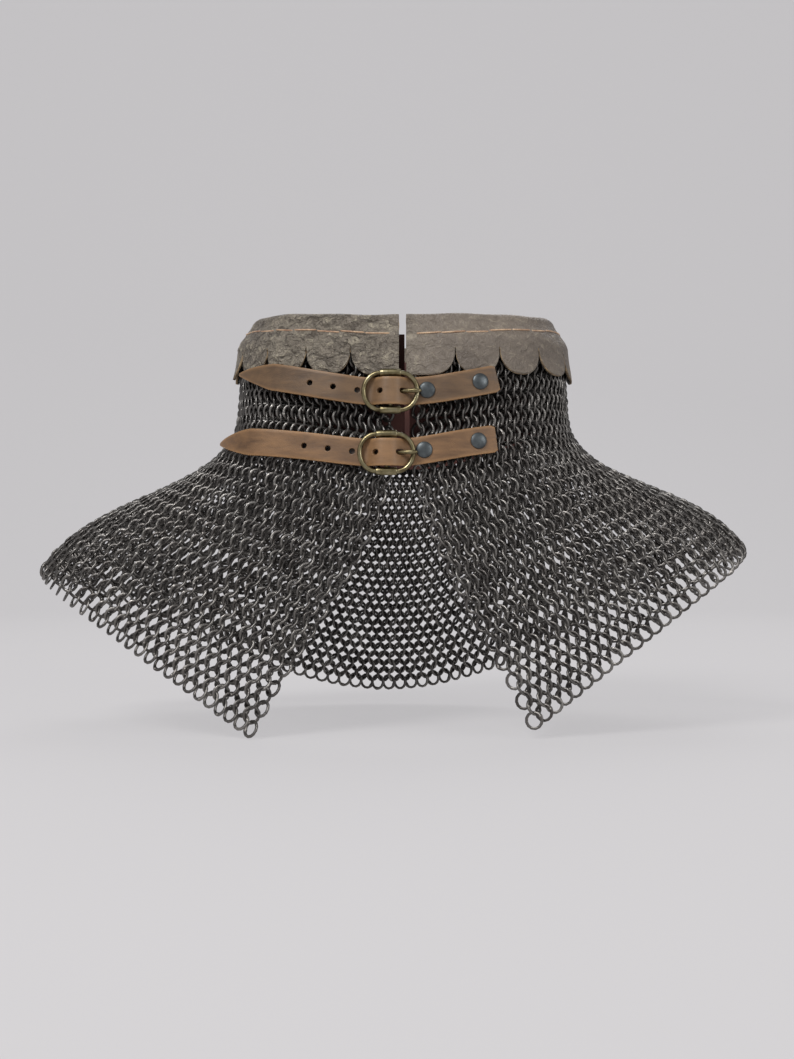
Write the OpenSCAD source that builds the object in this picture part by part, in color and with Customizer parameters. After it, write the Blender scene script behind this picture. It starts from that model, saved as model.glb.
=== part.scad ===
// Chainmail collar: four-in-one mail of flat rings with a dagged leather trim,
// a leather liner and two strap-and-buckle closures at the back of the neck.
// Origin: centre of the neck opening at the height of the neck's base.
// +Z up, -Y the wearer's back (the buckled side), +X the right of that view.

/* [Rings] */
// Inside diameter of a ring
ring_id = 8.6; // [8.4:0.1:8.6]
// Outside diameter of a ring
ring_od = 10.6; // [10.5:0.1:10.8]
// Thickness of a ring's flat wire
ring_t = 0.82; // [0.7:0.02:0.82]
// Rings in an even row, from one edge of the opening round to the other
columns = 118; // [116:2:120]
// Turn of the rings about their columns at the mean pitch
ring_turn = 49; // [48:0.5:50]
// Tilt that lets the rows overlap like shingles where they crowd together
shingle = 9; // [8.5:0.5:9.5]

/* [Neck] */
// Width of the neck at its base, through the middle of the mail
neck_w = 210; // [200:1:214]
// Depth of the neck from back to front
neck_d = 164; // [158:1:168]
// Squareness of the neck's plan, 2 for an ellipse
neck_round = 2.5; // [2.3:0.1:2.7]
// Share of the base's size that is left at the top row
top_pinch = 0.93; // [0.9:0.01:0.96]
// Gap between the middles of the edge rings at the opening
opening_gap = 21; // [19:0.5:24]
// Height of the top row above the neck's base at the sides
top_z = 55; // [54:1:57]
// How much lower the top edge runs at the back and the front
back_dip = 4; // [2:0.5:6]
// Share by which the rings crowd together in front
front_crowding = 0.07; // [0.05:0.01:0.09]

/* [Mantle] */
// Height of the mail's bend at the shoulders
side_base_z = 2; // [0:1:4]
// Height of the mail's bend at the back
back_base_z = -24; // [-26:1:-22]
// Height of the mail's bend in front
front_base_z = -20; // [-22:1:-18]
// Sideways sag of the hem, to the wearer's left
drape_shift = -6; // [-8:1:0]
// Drop of the hem on that side for each 100 mm from the middle
drape_drop = 3; // [0:1:4]
// How squarely the columns leave the base and reach the hem
square = 0.8; // [0.7:0.05:0.9]
// Share by which the rows spread towards the hem at the back
row_spread = 0.03; // [0.02:0.01:0.05]

/* [Leather trim] */
// Thickness of the trim and the liner
leather_t = 1.5; // [1.2:0.1:1.8]
// Height of the folded edge above the mail's top row
trim_rise = 22; // [20:0.5:24]
// Depth of the outer flap from the fold to the tips of the lappets
trim_drop = 37; // [34:1:39]
// Depth from the fold to the heads of the slits
slit_head = 21; // [19:1:24]
// Width of the two lappets beside the opening
end_lappet = 30; // [27:1:33]
// Lappets on each half, the end one included
lappets = 11; // [9:1:12]
// Depth of the inner flap
inner_drop = 30; // [27:1:32]
// Depth of the stitch line below the fold
stitch_drop = 13; // [12:0.5:15]
// Length of one stitch
stitch_len = 12; // [9:0.5:13]
// Thickness of the thread
thread_t = 0.9; // [0.6:0.1:1]

/* [Straps] */
// Width of a strap
strap_w = 16; // [14:0.5:17]
// Thickness of a strap
strap_t = 2; // [1.8:0.1:2.1]
// Diameter of the punched holes
hole_d = 3.4; // [2.8:0.1:3.6]
// Spacing of the punched holes
hole_pitch = 14; // [12:0.5:15]
// Diameter of the rivet heads
rivet_head = 10; // [9:0.5:10]
// Height of the rivet heads
rivet_rise = 1.8; // [1.4:0.1:2.2]

/* [Buckles] */
// Length of the oval frame along the strap, over all
buckle_l = 34; // [33:0.5:35]
// Height of the oval frame across the strap, over all
buckle_h = 24.5; // [24:0.5:25.5]
// Diameter of the frame's round bar
frame_d = 2.8; // [2.6:0.1:2.9]
// Diameter of the centre bar
bar_d = 2.4; // [2.2:0.1:2.5]
// Width of the sleeves that close over the frame
sleeve_w = 12.4; // [11.6:0.2:12.8]
// Diameter of the tongue
tongue_d = 2.2; // [2:0.1:2.3]
// Thickness of the tab that holds the bar
tab_t = 1.2; // [1:0.1:1.2]
// Width of the tab
tab_w = 13; // [11:0.5:14]
// Play between metal parts that turn on each other
play = 0.15; // [0.1:0.05:0.2]

/* [Hidden] */
rows = 39;
lie = 0.3;
mail_half = 4.75;
mail_back = 4.35;
row_names = [for (r = [1:rows]) str("mail_row_", r < 10 ? "0" : "", r)];
mail_color = [0.2, 0.19, 0.19];
trim_color = [0.27, 0.23, 0.2];
liner_color = [0.24, 0.13, 0.11];
strap_color = [0.42, 0.3, 0.21];
brass_color = [0.52, 0.43, 0.26];
rivet_color = [0.2, 0.18, 0.17];
thread_color = [0.55, 0.3, 0.2];

function unit(v) = v / norm(v);
function flip(p) = [-p.x, p.y, p.z];
function clamp01(x) = min(1, max(0, x));
function smooth(t) = let (u = clamp01(t)) u * u * (3 - 2 * u);
function total_to(pts, i = 0, total = 0, out = []) = i == len(pts) ? out
    : let (step = i == 0 ? 0 : norm(pts[i] - pts[i - 1]))
      total_to(pts, i + 1, total + step, concat(out, total + step));

// The neck's plan: a superellipse, 0 at the back, 90 on the left, 180 in front
function plan_r(phi) = pow(pow(abs(sin(phi)) / (neck_w / 2), neck_round)
    + pow(abs(cos(phi)) / (neck_d / 2), neck_round), -1 / neck_round);
function plan_xy(phi) = plan_r(phi) * [-sin(phi), -cos(phi)];
function plan_out(phi) = let (p = plan_xy(phi), e = neck_round - 1,
      g = [sign(p.x) * pow(abs(p.x) * 2 / neck_w, e) / neck_w,
           sign(p.y) * pow(abs(p.y) * 2 / neck_d, e) / neck_d]) g / norm(g);
plan_phi = [for (phi = [0:3:180]) phi];
plan_len = total_to([for (phi = plan_phi) plan_xy(phi)]);
phi_by_len = [for (i = [0:len(plan_phi) - 1]) [plan_len[i], plan_phi[i]]];
half_len = plan_len[len(plan_len) - 1];
// Plan angle at a distance u along the plan, + towards +X
function phi_at(u) = -sign(u) * lookup(abs(u), phi_by_len);
function dip(phi) = -back_dip * (1 + cos(2 * phi)) / 2;
function pinch(z) = 1 - (1 - top_pinch) * (z - back_base_z) / (top_z - back_base_z);
// A point `out` mm outside the middle of the neck's mail
function neck_at(u, z, out) = let (phi = phi_at(u), p = pinch(z) * plan_xy(phi)
    + out * plan_out(phi)) [p.x, p.y, z];

// w runs from 0 at the opening to 1 at the middle of the front
function phi_of(w) = lookup(opening_gap / 2 + (half_len - opening_gap / 2)
    * (w + front_crowding * sin(180 * w) / PI), phi_by_len);
function base_z(phi) = phi < 90
    ? back_base_z + (side_base_z - back_base_z) * smooth((phi - 10) / 75)
    : side_base_z + (front_base_z - side_base_z) * smooth((phi - 95) / 80);
function top_at(w) = let (phi = phi_of(w), p = top_pinch * plan_xy(phi))
    [p.x, p.y, top_z + dip(phi)];
function base_at(w) = let (phi = phi_of(w), p = plan_xy(phi)) [p.x, p.y, base_z(phi)];

// The hem's left half: [w, place]; the corner of the split comes first
hem_points = [
    [0, [-80, -112, -165]],
    [0.252, [-167, -87, -103]],
    [0.355, [-202, -61, -80]],
    [0.43, [-214, -28, -71]],
    [0.531, [-197, 13, -80]],
    [0.688, [-137, 52, -110]],
    [0.848, [-68, 75, -145]],
    [1, [0, 83, -158]]];
hem_all = concat([[-0.252, 2 * hem_points[0][1] - hem_points[1][1]]], hem_points,
    [[1.152, flip(hem_points[6][1])]]);
function span_of(w, k = 1) = k >= len(hem_all) - 3 || w < hem_all[k + 1][0] ? k
    : span_of(w, k + 1);
function slope(k) = (hem_all[k + 1][1] - hem_all[k - 1][1])
    / (hem_all[k + 1][0] - hem_all[k - 1][0]);
function hem_at(w) = let (k = span_of(w), a = hem_all[k], b = hem_all[k + 1],
      h = b[0] - a[0], t = (w - a[0]) / h, t2 = t * t, t3 = t2 * t)
    (2 * t3 - 3 * t2 + 1) * a[1] + (t3 - 2 * t2 + t) * h * slope(k)
    + (3 * t2 - 2 * t3) * b[1] + (t3 - t2) * h * slope(k + 1);
// The hem as draped: s is 1 on the left half and -1 on the mirrored one
function draped(w, s) = let (h = hem_at(w)) h + s * [drape_shift, 0, drape_drop * h.x / 100];

// A column of the sheet: two curves, from the top row to the bend and on to the hem
function bezier(a, b, c, d, t) = let (s = 1 - t)
    s * s * s * a + 3 * s * s * t * b + 3 * s * t * t * c + t * t * t * d;
function square_to(v, t, w) = unit(v - square * (0.2 + 0.8 * min(1, w / 0.15))
    * unit(t) * (v * unit(t)));
function column(w, s) = let (t = top_at(w), b = base_at(w), h = draped(w, s), e = 0.02,
      side = pow(sin(phi_of(w)), 2),
      fold = square_to(unit(b - t) + unit(h - b), base_at(w + e) - base_at(w - e), w),
      fall = square_to(unit(h - b) + [0, 0, -0.5 * side - 0.1],
          draped(w + e, s) - draped(w - e, s), w),
      neck_len = norm(b - t), mantle_len = norm(h - b))
    concat([for (i = [0:9]) bezier(t, t + (b - t) * 0.4, b - fold * neck_len * 0.25, b, i / 10)],
           [for (i = [0:16]) bezier(b, b + fold * mantle_len * 0.3,
               h - fall * mantle_len * 0.36, h, i / 16)]);
function share_w(c) = 1 - abs(2 * c / (columns - 1) - 1);
function column_table(c) = let (left = c <= (columns - 1) / 2,
      pts = column(share_w(c), left ? 1 : -1),
      placed = [for (p = pts) left ? p : flip(p)], run = total_to(placed))
    [for (i = [0:len(placed) - 1]) [run[i], placed[i]]];
// One table for each half column, from -1/2 to columns - 1/2
tables = [for (k = [-1:2 * columns - 1]) column_table(k / 2)];
function last(v) = v[len(v) - 1];
function along_table(t, v) = let (n = len(t) - 1, w = min(max(v, 0), t[n][0]), over = v - w,
      e = over < 0 ? unit(t[1][1] - t[0][1]) : unit(t[n][1] - t[n - 1][1]))
    [for (j = [0:2]) lookup(w, [for (q = t) [q[0], q[1][j]]])] + over * e;
function row_share(r, w) = let (rho = r / (rows - 1),
      k = row_spread * pow(cos(min(90, phi_of(w))), 2)) rho + k * rho * (rho - 1);
// The middle of the mail at column c and row r, both in halves
function sheet(c, r) = let (t = tables[round(2 * c) + 1])
    along_table(t, last(t)[0] * row_share(r, share_w(c)));

// A ring's place and the direction of its axis
function ring_frame(i, r) = let (c = i + 0.5 * (r % 2), p = sheet(c, r),
      along = sheet(c + 0.5, r) - sheet(c - 0.5, r),
      down = sheet(c, r + 0.5) - sheet(c, r - 0.5),
      pitch_along = norm(along), pitch_down = norm(down),
      d = unit(down), n = unit(cross(along, down)), a = cross(d, n),
      tight = clamp01((ring_od / 2 + 0.25 - pitch_down) / 0.35),
      turn = ring_turn - 5 * (pitch_along - 5.5) - 5 * (pitch_down - 5.2),
      lean = turn * (r % 2 == 0 ? 1 : -1) - 0.15 * asin(d * unit(along)))
    [p, unit(n * cos(lean) + a * sin(lean) + d * sin(shingle * tight))];

module turned_to(m) {
    rotate([0, acos(m.z), atan2(m.y, m.x)]) children();
}

module ring() {
    rotate_extrude($fn = 24)
        translate([ring_id / 2, -ring_t / 2])
            square([(ring_od - ring_id) / 2, ring_t]);
}

module mail_row(r) {
    color(mail_color)
        for (i = [0:columns - 1 - r % 2])
            let (f = ring_frame(i, r))
                translate(f[0]) turned_to(f[1]) ring();
}

// Closed solid through a list of closed sections with equal numbers of points
module swept(sections) {
    n = len(sections[0]);
    m = len(sections);
    polyhedron([for (s = sections) for (p = s) p], concat(
        [[for (i = [0:n - 1]) i]],
        [[for (i = [n - 1:-1:0]) (m - 1) * n + i]],
        [for (j = [0:m - 2]) for (i = [0:n - 1]) let (k = (i + 1) % n)
            [j * n + i, (j + 1) * n + i, (j + 1) * n + k]],
        [for (j = [0:m - 2]) for (i = [0:n - 1]) let (k = (i + 1) % n)
            [j * n + i, (j + 1) * n + k, j * n + k]]));
}

// Leather band inside the neck; it keeps the rings off the skin
liner_ends = [1, 4];
liner_top = 66;
function liner_low(phi) = max(-14, base_z(abs(phi)) + 9);
function liner_in(phi) = max(mail_half + lie + 3.2 * pow(sin(phi), 2),
    trim_skin(phi) + leather_t + 0.6);
module neck_liner() {
    steps = 42;
    color(liner_color)
        swept([for (i = [0:steps])
            let (u = liner_ends[1] + (2 * half_len - liner_ends[1] + liner_ends[0]) * i / steps,
                v = u > half_len ? u - 2 * half_len : u,
                phi = phi_at(v), d = dip(phi), low = liner_low(phi), k = liner_in(phi))
            [for (q = [[liner_top + d, -k], [low, -k], [low, -k - leather_t],
                    [liner_top + d, -k - leather_t]])
                neck_at(v, q[0], q[1])]]);
}

// Trim: a band folded over the top edge, its outer flap cut into round lappets
lappet_w = (half_len - end_lappet - 2) / (lappets - 1);
slit_w = 1.2;
trim_ends = [-3.6, 4];
function slit_at(k) = end_lappet + 2 + (k - 1) * lappet_w;
// Stations along one half of the flap: [u, share of the way from slit head to tip]
function half_stations(end) = concat(
    [[end, 0.86], [end + 4, 0.98], [slit_at(1) - 5, 0.98], [slit_at(1) - slit_w, 0.74]],
    [for (k = [1:lappets - 1]) for (s = [[0, 0], [slit_w, 0.74], [5, 0.98],
            [lappet_w - 5, 0.98], [lappet_w - slit_w, 0.74]])
        if (slit_at(k) + s[0] < half_len - 0.1) [slit_at(k) + s[0], s[1]]]);
function reversed(v) = [for (i = [len(v) - 1:-1:0]) v[i]];
trim_path = concat(half_stations(trim_ends[1]), [[half_len, 0]],
    [for (s = reversed(half_stations(-trim_ends[0]))) [-s[0], s[1]]]);
function trim_skin(phi) = mail_back + lie + 0.6 + (mail_half - mail_back)
    * smooth((abs(phi) - 10) / 50);
function trim_section(u, depth) = let (phi = phi_at(u), d = dip(phi) + top_z,
      o = trim_skin(phi), t = leather_t, top = trim_rise,
      low = top - slit_head - (trim_drop - slit_head) * depth)
    [for (q = [[low, o + t], [5, o + t], [top, 0], [8, -o - t + 0.8],
            [top - inner_drop, -o - t], [top - inner_drop, -o],
            [4, -o], [top - 2.6, 0], [4, o], [low, o]])
        neck_at(u, q[0] + d, q[1])];
module dagged_trim() {
    color(trim_color)
        swept([for (s = reversed(trim_path)) trim_section(s[0], s[1])]);
}

// Straight stitches along the outer flap, each one resting on the sloping leather
function trim_face(phi, z) = (trim_skin(phi) + leather_t)
    * min(1, (trim_rise - z) / (trim_rise - 5));
stitch_pitch = stitch_len + 3;
stitch_n = floor((half_len - 12) / stitch_pitch);
module trim_stitching() {
    color(thread_color)
        for (side = [-1, 1]) for (k = [0:stitch_n - 1])
            let (u = side * (9 + stitch_pitch * k), v = u + side * stitch_len, h = thread_t,
                z = trim_rise - stitch_drop, m = (u + v) / 2,
                sag = norm(neck_at(m, 0, 0) - (neck_at(u, 0, 0) + neck_at(v, 0, 0)) / 2) + 0.05)
            swept([for (q = side < 0 ? [u, v] : [v, u])
                [for (e = [[0, -h / 2], [h * 0.6, 0], [0, h / 2]])
                    neck_at(q, top_z + dip(phi_at(q)) + z + e[1],
                        trim_face(phi_at(q), z + e[1]) + sag + e[0])]]);
}

// Straps. A strap's line: [u of the tip, u of the anchored end, height under the
// buckle, rise to the left and its reach, rise to the right and its reach]
upper_line = [-112, 56, 25.4, 30, 105, 30, 110];
lower_line = [-122, 54, -10.4, 8, 50, 11, 50];
bar_u = [-7.5, -9.5];
function strap_z(q, u, b) = q[2] + (u < b ? q[3] * (1 - exp(-pow((u - b) / q[4], 2)))
    : q[5] * (1 - exp(-pow((u - b) / q[6], 2))));
// Distance of the strap's inner face from the middle of the mail, s from the bar
rim_gap = 0.45;
frame_out = mail_back + lie + tab_t + 0.1 + strap_t + rim_gap + frame_d / 2;
rim_s = (buckle_l - frame_d) / 2;
loop_r = bar_d / 2 + play + tab_t;
under_rim = frame_out - frame_d / 2 - rim_gap - strap_t;
over_bar = frame_out + loop_r + 0.1;
function strap_in(s, far, side) = abs(s) < rim_s
    ? under_rim + (over_bar - under_rim)
        * (0.5 + 0.5 * cos(180 * clamp01((abs(s) - 2.2) / (rim_s - 5.7))))
    : under_rim + (far - under_rim) * smooth((abs(s) - (s < 0 ? rim_s + 2 : 25)) / 15)
      + side * smooth((-s - 52) / 36);
function strap_point(q, b, far, side, u, w, out) = let (e = 0.5,
      a = neck_at(u - e, strap_z(q, u - e, b), 0), c = neck_at(u + e, strap_z(q, u + e, b), 0),
      t = unit(c - a), phi = phi_at(u), n2 = plan_out(phi),
      n = unit([n2.x, n2.y, (1 - top_pinch) * plan_r(phi) / (top_z - back_base_z)]),
      up = unit(cross(n, t)), p = neck_at(u, strap_z(q, u, b), 0))
    p + n * (out + strap_in(u - b, far, side)) + up * w;
// Half width of the strap: a pointed tip on the left, clipped corners on the right
function strap_half(q, u) = min(strap_w / 2, 1 + (u - q[0]) * 0.32 + 4.2 * smooth((u - q[0]) / 9),
    strap_w / 2 - 1.2 + (q[1] - u) * 0.8);
module strap(q, b, far, side) {
    first = q[0];
    marks = concat([0, 1.5, 4, 7, 11, 16, 22], [for (m = [30:8:b - first - 24]) m],
        [for (s = [-20, -16, -14, -11, -8, -5, -2, 0, 2, 5, 8, 11, 14, 16, 20]) b + s - first],
        [for (s = [27:7:q[1] - b - 4]) b + s - first], [q[1] - first - 1.5, q[1] - first]);
    difference() {
        color(strap_color)
            swept([for (m = marks) let (u = first + m, h = strap_half(q, u))
                [for (e = [[-h, 0], [h, 0], [h, strap_t], [-h, strap_t]])
                    strap_point(q, b, far, side, u, e[0], e[1])]]);
        for (s = holes_at(b)) through(q, b, far, side, s, hole_d);
        hull() {
            through(q, b, far, side, b + 6.6, hole_d);
            through(q, b, far, side, b + 8, hole_d);
        }
        for (s = rivets_at(b)) through(q, b, far, side, s, rivet_shank + 0.2);
    }
}
rivet_shank = 3;
function holes_at(b) = [for (k = [1:4]) b + 8.3 - hole_pitch * k];
function rivets_at(b) = [b + 21.8, b + 53];
// Stands its children on the strap's inner face at u, +Z outward
module on_strap(q, b, far, side, u) {
    p = strap_point(q, b, far, side, u, 0, 0);
    n = strap_point(q, b, far, side, u, 0, 1) - p;
    translate(p) turned_to(n) children();
}
module through(q, b, far, side, u, d) {
    on_strap(q, b, far, side, u) translate([0, 0, -3]) cylinder(d = d, h = strap_t + 6, $fn = 20);
}
upper_far = trim_skin(180) + leather_t + 0.4;
lower_far = under_rim;
upper_side = 0;
lower_side = 6.5;
module upper_strap() {
    strap(upper_line, bar_u[0], upper_far, upper_side);
}
module lower_strap() {
    strap(lower_line, bar_u[1], lower_far, lower_side);
}

// Low domed rivets that anchor the right ends of the straps
module strap_rivet() {
    r = rivet_head / 2;
    h = rivet_rise;
    rotate_extrude($fn = 28)
        polygon([[0, -strap_t], [rivet_shank / 2, -strap_t], [rivet_shank / 2, 0.12], [r, 0.12],
            [r * 0.96, 0.3 * h], [r * 0.8, 0.66 * h], [r * 0.5, 0.91 * h], [0, h]]);
}
module strap_rivets() {
    color(rivet_color) {
        for (u = rivets_at(bar_u[0]))
            on_strap(upper_line, bar_u[0], upper_far, upper_side, u)
                translate([0, 0, strap_t]) strap_rivet();
        for (u = rivets_at(bar_u[1]))
            on_strap(lower_line, bar_u[1], lower_far, lower_side, u)
                translate([0, 0, strap_t]) strap_rivet();
    }
}

// Children in a buckle's own frame: +X along the strap, +Y up, +Z outward, 0 on the bar
function bar_axes(b) = let (phi = phi_at(b), n2 = plan_out(phi), t = [-n2.y, n2.x, 0],
      n = unit([n2.x, n2.y, (1 - top_pinch) * plan_r(phi) / (top_z - back_base_z)]))
    [t, cross(n, t), n];
function bar_place(q, b) = neck_at(b, q[2], 0) + frame_out * bar_axes(b)[2];
module at_bar(q, b) {
    e = bar_axes(b);
    o = bar_place(q, b);
    multmatrix([for (j = [0:2]) [e[0][j], e[1][j], e[2][j], o[j]]]) children();
}

// Tab: a strip folded round the bar, its tail riveted under the strap
tab_tail = -33;
tab_rivets_at = [-21, -28];
module tab(q, b) {
    low = mail_back + lie;
    n0 = frame_out;
    outline = concat(
        [for (a = [-125:25:125]) [loop_r * cos(a), n0 + loop_r * sin(a)]],
        [[-7.2, low + 2 * tab_t], [-8.5, low + 2 * tab_t], [-8.8, low + tab_t],
         [-18, low + tab_t], [-26, low + tab_t], [tab_tail, low + tab_t], [tab_tail, low],
         [-26, low], [-18, low], [-11, low], [-6.2, low]]);
    difference() {
        color(strap_color)
            swept([for (w = [1, -1]) [for (p = outline)
                neck_at(b + p[0], q[2] + w * tab_w / 2, p[1])]]);
        at_bar(q, b) {
            rotate([90, 0, 0]) cylinder(r = bar_d / 2 + play, h = tab_w + 4, center = true, $fn = 24);
            translate([-3.3, -2.4, -3.4]) cube([8, 4.8, 6.8]);
        }
        for (s = tab_rivets_at) on_neck(b + s, q[2], low - 1)
            cylinder(d = 3.6, h = tab_t + 2, $fn = 20);
    }
}
// Stands its children `out` mm outside the mail's middle, +Z outward
module on_neck(u, z, out) {
    translate(neck_at(u, z, out)) turned_to(bar_axes(u)[2]) children();
}
module upper_tab() {
    tab(upper_line, bar_u[0]);
}
module lower_tab() {
    tab(lower_line, bar_u[1]);
}
module tab_rivets() {
    color(rivet_color)
        for (k = [0, 1]) let (q = k == 0 ? upper_line : lower_line)
            for (s = tab_rivets_at) on_neck(bar_u[k] + s, q[2], mail_back + lie)
                cylinder(d = 3.4, h = tab_t - 0.05, $fn = 20);
}

// Oval frame of round bar, straight where the sleeves sit, in the buckle's own plane
frame_r = frame_d / 2;
turn_r = buckle_h / 2 - frame_r;
half_straight = sleeve_w / 2 - 0.3;
module buckle_frame() {
    color(brass_color) {
        for (s = [-1, 1]) {
            translate([s * half_straight, 0, 0])
                scale([(rim_s - half_straight) / turn_r, 1, 1]) rotate([0, 0, -90 * s])
                    rotate_extrude(angle = 180, $fn = 48)
                        translate([turn_r, 0]) circle(r = frame_r, $fn = 16);
            translate([0, s * turn_r, 0]) rotate([0, 90, 0])
                cylinder(r = frame_r, h = 2 * half_straight, center = true, $fn = 16);
        }
    }
}
module upper_buckle_frame() {
    at_bar(upper_line, bar_u[0]) buckle_frame();
}
module lower_buckle_frame() {
    at_bar(lower_line, bar_u[1]) buckle_frame();
}

// Centre bar with the sleeves that are closed over the frame above and below
module buckle_bar() {
    color(brass_color)
        difference() {
            union() {
                rotate([90, 0, 0])
                    cylinder(d = bar_d, h = 2 * (turn_r - frame_r - 0.4), center = true, $fn = 24);
                for (s = [-1, 1]) translate([0, s * turn_r, 0]) rotate([0, 90, 0])
                    cylinder(r = frame_r + 1, h = sleeve_w, center = true, $fn = 24);
            }
            for (s = [-1, 1]) translate([0, s * turn_r, 0]) rotate([0, 90, 0])
                cylinder(r = frame_r + 0.03, h = sleeve_w + 2, center = true, $fn = 16);
        }
}
module upper_buckle_bar() {
    at_bar(upper_line, bar_u[0]) buckle_bar();
}
module lower_buckle_bar() {
    at_bar(lower_line, bar_u[1]) buckle_bar();
}

// Tongue: an eye on the bar and a pin that rests on the right rim
module tongue() {
    r = tongue_d / 2;
    rest = frame_r + r + 0.03;
    eye_r = bar_d / 2 + play;
    pin = [[eye_r + 0.3, 0, 0.9], [3.5, -0.35, 0.95], [5.5, -0.5, 1], [7.2, 0, 1], [9, 0.95, 1],
        [10.8, rest - 0.6, 1], [13, rest - 0.08, 1], [rim_s, rest, 1],
        [rim_s + 1.6, rest - 0.15, 0.8], [rim_s + 2.5, rest - 0.45, 0.4]];
    color(brass_color) {
        rotate([90, 0, 0])
            rotate_extrude($fn = 28) translate([eye_r, -2]) square([tongue_d * 0.48, 4]);
        swept([for (k = [0:len(pin) - 1])
            [for (a = [0:36:324]) [pin[k][0], r * pin[k][2] * cos(a), pin[k][1] + r * pin[k][2] * sin(a)]]]);
    }
}
module upper_tongue() {
    at_bar(upper_line, bar_u[0]) tongue();
}
module lower_tongue() {
    at_bar(lower_line, bar_u[1]) tongue();
}

neck_liner();
dagged_trim();
trim_stitching();
upper_strap();
lower_strap();
strap_rivets();
upper_tab();
lower_tab();
tab_rivets();
upper_buckle_frame();
lower_buckle_frame();
upper_buckle_bar();
lower_buckle_bar();
upper_tongue();
lower_tongue();
for (r = [0:rows - 1]) mail_row(r);
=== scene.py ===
import math

import bpy
import numpy as np
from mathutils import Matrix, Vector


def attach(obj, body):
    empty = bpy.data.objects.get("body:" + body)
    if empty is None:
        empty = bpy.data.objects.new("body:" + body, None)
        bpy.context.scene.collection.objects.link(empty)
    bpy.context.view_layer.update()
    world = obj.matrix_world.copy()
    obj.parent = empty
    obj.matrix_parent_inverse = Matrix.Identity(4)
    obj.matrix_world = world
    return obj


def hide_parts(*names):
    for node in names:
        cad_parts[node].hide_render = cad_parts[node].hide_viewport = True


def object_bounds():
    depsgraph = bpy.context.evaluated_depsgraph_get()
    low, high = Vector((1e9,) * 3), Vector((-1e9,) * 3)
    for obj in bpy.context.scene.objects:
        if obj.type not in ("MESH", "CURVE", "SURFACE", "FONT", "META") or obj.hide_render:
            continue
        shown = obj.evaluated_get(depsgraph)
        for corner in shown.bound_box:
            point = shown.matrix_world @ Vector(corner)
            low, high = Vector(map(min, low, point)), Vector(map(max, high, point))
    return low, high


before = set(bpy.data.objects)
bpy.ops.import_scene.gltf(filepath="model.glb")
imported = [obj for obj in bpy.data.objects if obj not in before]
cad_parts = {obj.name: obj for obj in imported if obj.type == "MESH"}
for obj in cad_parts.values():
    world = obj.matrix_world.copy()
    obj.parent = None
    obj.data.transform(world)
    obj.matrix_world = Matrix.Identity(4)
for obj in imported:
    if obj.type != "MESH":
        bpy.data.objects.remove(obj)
cad_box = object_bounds()

# The camera stands level behind the wearer, 0.96 m from the neck's axis and
# 65 mm below the neck's base. It has a normal lens, shifted a little up.
PHOTO_HEIGHT, FOCAL_LENGTH, SHIFT_RIGHT, SHIFT_UP = 1059, 1500, -6, 18.5  # pixels
SENSOR = 36  # mm
camera = bpy.data.objects.new("camera", bpy.data.cameras.new("camera"))
bpy.context.scene.collection.objects.link(camera)
camera.location = (0, -0.960, -0.065)
camera.rotation_euler = (math.radians(90), 0, 0)
camera.data.sensor_fit = "VERTICAL"
camera.data.sensor_height = SENSOR
camera.data.lens = SENSOR * FOCAL_LENGTH / PHOTO_HEIGHT
camera.data.shift_x = SHIFT_RIGHT / PHOTO_HEIGHT
camera.data.shift_y = SHIFT_UP / PHOTO_HEIGHT
camera.data.dof.use_dof = False
bpy.context.scene.camera = camera

# The mail is woven four-in-one from flattened, riveted steel rings, in 39 rows of
# 118 and 117 by turns. The steel is oiled dark grey-brown, with a painted highlight on the
# rivets. Named sizes, here and below, are in mm.
RING_INNER, RING_OUTER, RING_THICK = 3.85, 5.42, 0.9
RIVET_R, RIVET_H, RIVET_SIDES = 0.62, 0.34, 6
LAP_ANGLE, LAP_INWARD, LAP_OUTWARD, LAP_THICK = 16, 0.38, 0.3, 0.1  # the angle in degrees
RING_TIP, RING_SHIFT = 0.035, 0.08  # the tip in radians, about 2 degrees
CAD_RING_TRIANGLES = 336
MAIL_BLOCKS = (("neck_mail", 1, 11), ("shoulder_mail", 11, 21), ("mantle_mail", 21, 31),
               ("hem_mail", 31, 40))
DULL_PATCH, STEEL_GRIT = 28.6, 0.714
IN_COLOUR = {"data_type": "RGBA"}


def linear(colour):
    """sRGB hex to linear RGBA: c / 12.92 up to 0.04045, above it ((c + 0.055) / 1.055) ^ 2.4."""
    c = np.array([int(colour[i:i + 2], 16) for i in (1, 3, 5)]) / 255
    c = np.where(c <= 0.04045, c / 12.92, ((c + 0.055) / 1.055) ** 2.4)
    return (*c.tolist(), 1.0)


def new_material(name):
    """An empty material and its node tree."""
    material = bpy.data.materials.new(name)
    material.use_nodes = True
    material.node_tree.nodes.clear()
    return material, material.node_tree


def add(tree, kind, out=0, settings=(), stops=(), **inputs):
    """Adds a shader node with its settings, its ramp's stops as (place, hex colour) and its inputs,
    and returns one of its outputs, if it has any. An input goes by the first socket of its name, or
    as _6 by number: a socket is linked, a hex colour made linear, and another value set."""
    node = tree.nodes.new("ShaderNode" + kind)
    for key, value in dict(settings).items():
        setattr(node, key, value)
    for _ in stops[2:]:
        node.color_ramp.elements.new(0.5)
    for k, (place, colour) in enumerate(stops):
        node.color_ramp.elements[k].position = place
        node.color_ramp.elements[k].color = linear(colour)
    for key, value in inputs.items():
        socket = node.inputs[int(key[1:]) if key[0] == "_" else key.replace("_", " ")]
        if isinstance(value, bpy.types.NodeSocket):
            tree.links.new(value, socket)
        else:
            socket.default_value = linear(value) if isinstance(value, str) else value
    return node.outputs[out] if node.outputs else None


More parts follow.
